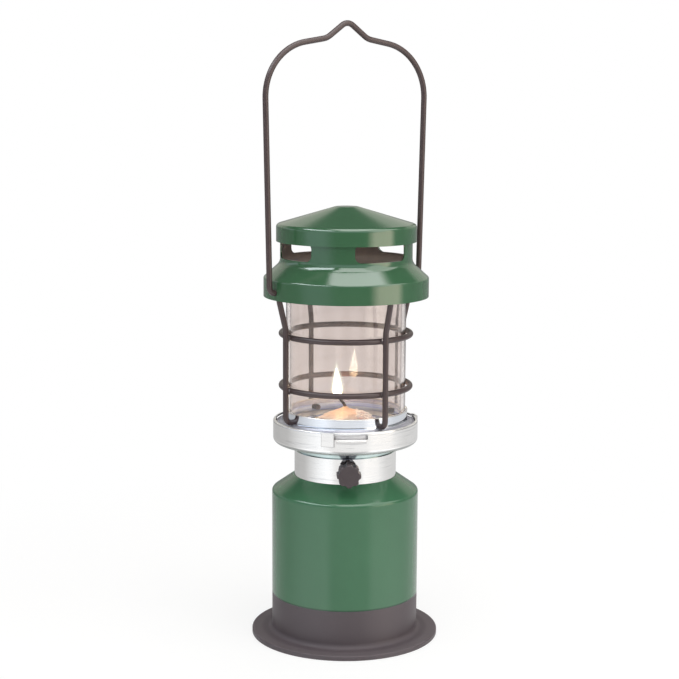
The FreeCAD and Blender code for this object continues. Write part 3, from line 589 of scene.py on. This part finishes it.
FINISHES = {
    "hood_enamel": green_enamel(
        "hood_enamel", dark=srgb(58, 101, 69), light=srgb(64, 109, 76), gloss=0.9, rough=0.08),
    "drum_enamel": green_enamel(
        "drum_enamel", dark=srgb(61, 110, 78), light=srgb(67, 118, 85), gloss=0.5, rough=0.15),
    "foot_plastic": foot_plastic(),
    "knob_plastic": knob_plastic(),
    "bright_steel": bright_steel("bright_steel"),
    "cup_steel": bright_steel("cup_steel", cup_marks, dull_top=0.6),
    "gallery_steel": bright_steel(
        "gallery_steel", gallery_marks, dull_top=0.8, dull_inside=0.9, dull_below=SKIRT_TOP),
    "pan_steel": bright_steel("pan_steel", pan_marks, dull_top=0.4),
    "bead_steel": bright_steel("bead_steel", dull_top=0.5, dull_inside=0.5),
    "lip_steel": bright_steel("lip_steel", lip_highlight, dull_all=0.85),
    "dark_wire": dark_wire(),
    "weld_metal": weld_metal(),
    "clear_glass": clear_glass(),
    "candle_foil": candle_foil(),
    "candle_wax": candle_wax(
        "candle_wax", pale=srgb(250, 236, 232), warm=srgb(246, 202, 164),
        dim=srgb(88, 64, 57), lit=srgb(104, 60, 34), soft=0.25),
    # The chips carry a brighter painted glow than the wax
    "wax_chips": candle_wax(
        "wax_chips", pale=srgb(255, 250, 246), warm=srgb(255, 250, 244),
        dim=srgb(150, 132, 122), lit=srgb(160, 136, 118), soft=0.0),
    "wick_cotton": wick_cotton(),
    "flame_core": flame_light(
        "flame_core", low_colour=(1.0, 0.78, 0.46, 1.0), high_colour=(1.0, 0.94, 0.74, 1.0),
        strength=30.0, solid_foot=0.3, solid_top=1.0),
    "flame_body": flame_light(
        "flame_body", low_colour=(1.0, 0.92, 0.62, 1.0), high_colour=(0.95, 1.0, 0.86, 1.0),
        strength=1.5, solid_foot=0.3, solid_top=0.6),
    "flame_veil": flame_light(
        "flame_veil", low_colour=(1.0, 0.85, 0.55, 1.0), high_colour=(1.0, 1.0, 0.86, 1.0),
        strength=1.4, solid_foot=0.06, solid_top=0.14)}

NODE_FINISHES = {
    "drum_enamel": ["body_shell"],
    "hood_enamel": ["vent_hood", "roof_cap"],
    "foot_plastic": ["foot"],
    "knob_plastic": ["knob"],
    "bright_steel": ["neck_sleeve", "clamp_nut", "knob_screw", "wick_tab"],
    "pan_steel": ["candle_pan"],
    "cup_steel": ["burner_cup"],
    "gallery_steel": ["gallery"],
    "dark_wire": ["bail", "guard_ring_lower", "guard_ring_upper", "guard_upright_left",
                  "guard_upright_right", "guard_upright_front", "guard_upright_back"],
    "clear_glass": ["globe"],
    "candle_foil": ["candle_tin"],
    "candle_wax": ["candle_wax"],
    "wick_cotton": ["wick"]}


def dress_nodes():
    for finish, names in NODE_FINISHES.items():
        for name in names:
            slots = nodes[name].data.materials
            slots.clear()
            slots.append(FINISHES[finish])
    nodes["globe"].visible_shadow = False


def rows(shape, rings, endless=False):
    """Faces between rings of points, which are closed at both ends or run on into the first ring."""
    loops = [[shape.verts.new(point) for point in ring] for ring in rings]
    after = loops[1:] + loops[:1] if endless else loops[1:]
    for lower, upper in zip(loops, after):
        count = len(lower)
        for i in range(count):
            shape.faces.new((lower[i], lower[(i + 1) % count], upper[(i + 1) % count], upper[i]))
    if not endless:
        shape.faces.new(list(reversed(loops[0])))
        shape.faces.new(loops[-1])


def settle(name, shape, body, finish):
    """Turn finished faces into a smooth piece that rides on a body."""
    bmesh.ops.recalc_face_normals(shape, faces=shape.faces)
    mesh = bpy.data.meshes.new(name)
    shape.to_mesh(mesh)
    shape.free()
    mesh.polygons.foreach_set("use_smooth", [True] * len(mesh.polygons))
    mesh.materials.append(FINISHES[finish])
    piece = bpy.data.objects.new(name, mesh)
    bpy.context.scene.collection.objects.link(piece)
    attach(piece, body)
    return piece


def circle(centre, radius, count=48):
    """Points of a level circle."""
    x, y, z = centre
    turns = [2.0 * math.pi * i / count for i in range(count)]
    return [(x + radius * math.cos(t), y + radius * math.sin(t), z) for t in turns]


def section(out, radius, height, size, count):
    """Points of an upright round section, at a radius in the direction out and at a height."""
    turns = [2.0 * math.pi * i / count for i in range(count)]
    return [out * (radius + size * math.cos(t)) + UP * (height + size * math.sin(t)) for t in turns]


def flame(name, wide, tall):
    """A leaf of flame on the wick's tip: full low down, drawn out to a point that leans a little."""
    shape = bmesh.new()
    rings = []
    steps = 40
    thinnest = 0.00004
    foot_share = 0.45
    full_from = 0.26
    taper_from = 0.2
    for i in range(steps + 1):
        rise = i / steps
        swell = foot_share + (1.0 - foot_share) * math.sin(math.pi / 2.0 * min(1.0, rise / full_from))
        taper = 1.0 - max(0.0, (rise - taper_from) / (1.0 - taper_from)) ** 1.55
        centre = FLAME_FOOT + FLAME_LEAN * rise * rise + UP * (FLAME_HEIGHT * rise * tall)
        rings.append(circle(centre, max(thinnest, FLAME_WIDTH / 2.0 * wide * swell * taper)))
    rows(shape, rings)
    piece = settle(name, shape, "candle", name)
    piece.visible_shadow = False


def wax_height(spot):
    """Height of the wax over its edge, at a level spot in shares of the wax's radius."""
    u = spot.length
    slope = min(1.0, (1.0 - u) / (1.0 - WAX_FLAT))
    mound = WAX_RISE * slope * (1.0 + 0.03 * math.sin(math.pi * slope)) - 0.0004 * slope ** 8
    bulge = WICK_BULGE * math.exp(-((u / 0.08) ** 2))
    broad_lumps = 0.0006 * noise.noise(spot * 3.1 + Vector((4.0, 1.0, 0.0)))
    fine_lumps = 0.00025 * noise.noise(spot * 11.0)
    return mound + bulge + (broad_lumps + fine_lumps) * min(1.0, 4.0 * u) * (1.0 - u ** 6)


def wax_mound():
    """Wax that has melted, run and set round the wick."""
    shape = bmesh.new()
    count = 96
    steps = 48
    rings = [circle((0.0, 0.0, height), WAX_RADIUS, count) for height in (WAX_FOOT, WAX_EDGE)]
    for step in range(1, steps):
        spots = [Vector(point) for point in circle((0.0, 0.0, 0.0), 1.0 - step / steps, count)]
        rings.append([spot * WAX_RADIUS + UP * (WAX_EDGE + wax_height(spot)) for spot in spots])
    rows(shape, rings)
    piece = settle("wax_mound", shape, "candle", "candle_wax")
    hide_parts("candle_wax")


def wax_chips():
    """Chips of wax that lie on the side of the mound that is on the camera's right."""
    shape = bmesh.new()
    dice = random.Random(7)
    across = toward(90.0)
    away = toward(180.0)
    for _ in range(CHIP_COUNT):
        spot = across * dice.uniform(0.0055, 0.0145) + away * dice.uniform(-0.008, 0.005)
        middle = spot + UP * (WAX_EDGE + wax_height(spot / WAX_RADIUS) + CHIP_LIFT)
        size = dice.uniform(0.0006, 0.0013)
        made = bmesh.ops.create_icosphere(shape, subdivisions=2, radius=1.0)
        for vert in made["verts"]:
            rough = 1.0 + 0.45 * noise.noise(vert.co * 1.3 + spot * 4000.0)
            vert.co = middle + Vector((vert.co.x * 1.3, vert.co.y, vert.co.z * 0.6)) * size * rough
    settle("wax_chips", shape, "candle", "wax_chips")


def slot_lips():
    """The bright lip pressed out of the cup's wall under each bayonet slot, thinner at its ends."""
    shape = bmesh.new()
    steps = 24
    for turn in GATE_TURNS:
        rings = []
        for step in range(steps + 1):
            out = spoke(turn + SLOT_START + (SLOT_END - SLOT_START) * step / steps)
            fat = LIP_SIZE * min(1.0, 0.3 + step / 3.0, 0.3 + (steps - step) / 3.0)
            rings.append(section(out, LIP_RADIUS, LIP_HEIGHT, fat, count=12))
        rows(shape, rings)
    settle("slot_lips", shape, "base", "lip_steel")


def collar_bead():
    """The collar's upper edge, rolled over into a bright bead."""
    shape = bmesh.new()
    steps = 144
    spokes = [spoke(360.0 * step / steps) for step in range(steps)]
    rings = [section(out, BEAD_RADIUS, BEAD_HEIGHT, BEAD_SIZE, count=10) for out in spokes]
    rows(shape, rings, endless=True)
    settle("collar_bead", shape, "top", "bead_steel")


def guard_welds():
    """Weld beads that run into the corners where the rings meet the uprights."""
    shape = bmesh.new()
    deep, wide, tall = WELD_SIZES
    for height in RING_HEIGHTS:
        for quarter in range(4):
            out = spoke(90.0 * quarter)
            along = Vector((-out.y, out.x, 0.0))
            for side in (-1.0, 1.0):
                middle = out * GUARD_RADIUS + along * (side * WELD_ASIDE) + UP * height
                made = bmesh.ops.create_icosphere(shape, subdivisions=3, radius=1.0)
                for vert in made["verts"]:
                    spot = vert.co * (1.0 + 0.3 * noise.noise(vert.co * 1.7 + middle * 900.0))
                    level = out * (spot.x * deep) + along * (spot.y * wide)
                    vert.co = middle + level + UP * (spot.z * tall)
    settle("guard_welds", shape, "top", "weld_metal")


def pale_floor():
    """A pale table that looks white, with the lantern's shadow on it."""
    f = new_finish("pale_floor")
    camera, through = f.node("ShaderNodeLightPath", None, None, ["Is Camera Ray", "Is Transmission Ray"])
    seen = f.maths("ADD", camera, through, clamp=True)
    p = f.place()
    x, y, _ = f.split(p)
    plain = f.principled(Base_Color=f.mix(f.noise(p, 40.0, 2.0), grey(0.86), grey(0.9)), Roughness=0.7)
    far = f.node("ShaderNodeEmission", None, {"Color": WHITE, "Strength": 1.0})
    glow = f.node("ShaderNodeEmission", None, {"Color": WHITE, "Strength": 0.76})
    shaded = f.node("ShaderNodeBsdfDiffuse", None, {"Color": grey(0.28)})
    near = f.node("ShaderNodeAddShader", None, {"Shader": glow, "Shader_001": shaded})
    white = f.mix_shader(f.fade(f.radius(x, y), SHADOW_END, SHADOW_FULL), far, near)
    return f.finish(f.mix_shader(seen, plain, white))


def make_floor():
    shape = bmesh.new()
    bmesh.ops.create_circle(shape, cap_ends=True, segments=64, radius=FLOOR_RADIUS)
    mesh = bpy.data.meshes.new("floor")
    shape.to_mesh(mesh)
    shape.free()
    mesh.materials.append(pale_floor())
    floor = bpy.data.objects.new("floor", mesh)
    floor.location.z = -FLOOR_DROP
    floor.visible_glossy = False
    bpy.context.scene.collection.objects.link(floor)


# What gloss mirrors: levels round the lantern, by degrees to the right of the camera, where 1 is white
BRIGHTEST = 7.0
WARM_PANEL = (2.8, 2.45, 2.05, 1.0)
ROOM = [
    (-180.0, grey(0.3)), (-120.0, grey(0.26)), (-100.0, grey(0.22)), (-70.0, grey(0.18)),
    (-24.0, grey(0.12)), (33.0, grey(0.12)), (47.0, WARM_PANEL), (76.0, WARM_PANEL), (86.0, grey(0.3)),
    (100.0, grey(0.22)), (130.0, grey(0.3)), (180.0, grey(0.3))]
FAR_TABLE = [
    (-180.0, grey(0.52)), (-140.0, grey(0.5)), (-105.0, grey(0.54)), (-78.0, (0.79, 0.8, 0.81, 1.0)),
    (-57.0, (1.0, 1.02, 1.04, 1.0)), (-40.0, (1.11, 1.13, 1.15, 1.0)), (-23.0, grey(0.95)),
    (-8.0, grey(0.97)), (24.0, grey(1.0)), (40.0, grey(1.02)), (57.0, grey(0.98)), (78.0, grey(0.96)),
    (105.0, grey(0.77)), (144.0, grey(0.7)), (180.0, grey(0.64))]
NEAR_TABLE = [
    (-180.0, grey(0.58)), (-100.0, grey(0.62)), (-68.0, (1.22, 1.24, 1.27, 1.0)),
    (-29.0, (1.4, 1.42, 1.45, 1.0)), (-19.0, grey(0.78)), (36.0, grey(0.78)), (45.0, grey(1.4)),
    (80.0, grey(1.3)), (110.0, grey(0.8)), (180.0, grey(0.66))]


def share(colour):
    """A mirrored colour as a share of the brightest, which the background's strength brings back."""
    return tuple(level / BRIGHTEST for level in colour[:3]) + (1.0,)


def mirrored_studio(f):
    """The studio that gloss mirrors: a pale table, a dim room above it, and bright panels in it."""
    x, y, z = f.split(f.node("ShaderNodeTexCoord", None, None, ["Generated"])[0])
    ahead = toward(0.0)
    aside = toward(90.0)
    front = x * ahead.x + y * ahead.y
    right = x * aside.x + y * aside.y
    around = f.maths("ARCTAN2", right, front) / (2.0 * math.pi) + 0.5

    def ring(levels):
        stops = [(0.5 + azimuth / 360.0, share(colour)) for azimuth, colour in levels]
        return f.node("ShaderNodeValToRGB", {"stops": stops}, {"Fac": around}, ["Color"])[0]

    lean = around + 0.6 * (z + 0.09)
    left_panel = f.band(lean, 0.298, 0.318, 0.4, 0.452) * f.fade(z, -0.12, -0.05, 0.4, 1.0)
    back_wall = f.fade(z, 0.02, 0.2) * f.fade(front, -0.3, -0.7)
    front_panel = f.fade(z, 0.04, 0.1) * f.fade(front, 0.3, 0.7)
    room = f.mix(left_panel, ring(ROOM), share((0.84, 0.92, 1.06)))
    room = f.mix(back_wall, room, share((0.62, 0.6, 0.55)))
    room = f.mix(front_panel, room, share((0.7, 0.77, 0.87)))
    seen = f.mix(f.fade(z, -0.264, -0.252), ring(NEAR_TABLE), ring(FAR_TABLE))
    seen = f.mix(f.fade(z, -0.185, -0.145), seen, room)
    seen = f.mix(f.fade(z, 0.45, 0.56), seen, share(grey(0.1)))
    window = f.band(z, 0.1, 0.18, 0.88, 0.92) * f.fade(right + 0.6 * (z - 0.5), 0.5, 0.56)
    window = window * f.fade(right, 0.9, 0.84) * f.fade(front, -0.3, -0.18)
    seen = f.mix(window, seen, share((2.4, 2.4, 2.3)))
    overhead = f.fade(z, 0.86, 0.9) * f.band(right, -0.26, -0.17, 0.4, 0.46)
    overhead = overhead * f.fade(front, -0.35, -0.29)
    forward = f.fade(z, 0.55, 0.65) * f.band(right, -0.2, -0.12, 0.4, 0.46) * f.fade(front, 0.1, 0.2)
    seen = f.mix(f.larger(overhead, forward), seen, share(grey(3.6)))
    key = f.band(z, 0.56, 0.62, 0.8, 0.86) * f.band(right, -0.8, -0.74, -0.33, -0.27)
    key = key * f.fade(front, -0.2, -0.12)
    return f.mix(key, seen, share((6.0, 6.4, 6.8)))


def make_world():
    """White to the camera, also through glass; gloss mirrors a studio, and soft light fills in."""
    f = Finish(bpy.data.worlds.new("studio"))
    camera, glossy, through = f.node("ShaderNodeLightPath", None, None, [
        "Is Camera Ray", "Is Glossy Ray", "Is Transmission Ray"])
    mirrored = f.node("ShaderNodeBackground", None, {"Color": mirrored_studio(f), "Strength": BRIGHTEST})
    soft = f.node("ShaderNodeBackground", None, {"Color": (1.0, 0.99, 0.98, 1.0), "Strength": 0.52})
    white = f.node("ShaderNodeBackground", None, {"Color": WHITE, "Strength": 1.0})
    seen = f.maths("ADD", camera, through, clamp=True)
    shader = f.mix_shader(seen, f.mix_shader(glossy, soft, mirrored), white)
    bpy.context.scene.world = f.finish(shader, "ShaderNodeOutputWorld")


def softbox(name, azimuth, height, distance, width, tall, level, colour):
    """A soft panel that faces the lantern; level is how bright it looks beside white."""
    data = bpy.data.lights.new(name, "AREA")
    data.shape = "RECTANGLE"
    data.size = width
    data.size_y = tall
    data.energy = level * math.pi * width * tall
    data.color = colour
    lamp = bpy.data.objects.new(name, data)
    lamp.location = toward(azimuth) * distance + UP * height
    facing = UP * LAMP_AIM - lamp.location
    lamp.rotation_euler = facing.to_track_quat("-Z", "Y").to_euler()
    lamp.visible_camera = False
    lamp.visible_transmission = False
    lamp.visible_glossy = False
    bpy.context.scene.collection.objects.link(lamp)


def make_camera():
    data = bpy.data.cameras.new("camera")
    data.sensor_width = 36.0
    data.lens = VIEW_FOCAL_PIXELS * data.sensor_width / PHOTO_PIXELS
    data.clip_start = 0.01
    camera = bpy.data.objects.new("camera", data)
    spot = toward(0.0) * VIEW_DISTANCE + UP * VIEW_HEIGHT
    heading = Matrix.Rotation(math.radians(VIEW_AZIMUTH + VIEW_YAW), 4, "Z")
    pitch = Matrix.Rotation(math.radians(90.0 - VIEW_PITCH), 4, "X")
    roll = Matrix.Rotation(math.radians(VIEW_ROLL), 4, "Z")
    camera.matrix_world = Matrix.Translation(spot) @ heading @ pitch @ roll
    bpy.context.scene.collection.objects.link(camera)
    bpy.context.scene.camera = camera


# The lantern
dress_nodes()
guard_welds()
collar_bead()
slot_lips()
wax_mound()
wax_chips()
flame("flame_core", wide=0.8, tall=0.89)
flame("flame_body", wide=1.04, tall=1.0)
flame("flame_veil", wide=1.26, tall=1.12)

# The studio
make_floor()
make_world()
softbox("right_softbox", azimuth=59.0, height=0.45, distance=1.0, width=0.9, tall=0.8,
        level=1.35, colour=(1.0, 0.95, 0.9))
softbox("left_softbox", azimuth=-40.0, height=0.45, distance=1.1, width=0.8, tall=0.8,
        level=0.7, colour=(0.92, 0.97, 1.0))
softbox("top_softbox", azimuth=20.0, height=1.1, distance=0.25, width=0.6, tall=0.6,
        level=3.2, colour=(1.0, 1.0, 0.98))
softbox("back_softbox", azimuth=168.0, height=0.6, distance=1.1, width=0.8, tall=0.6,
        level=0.8, colour=(1.0, 0.98, 0.96))
make_camera()

bpy.context.scene.view_settings.view_transform = "Standard"
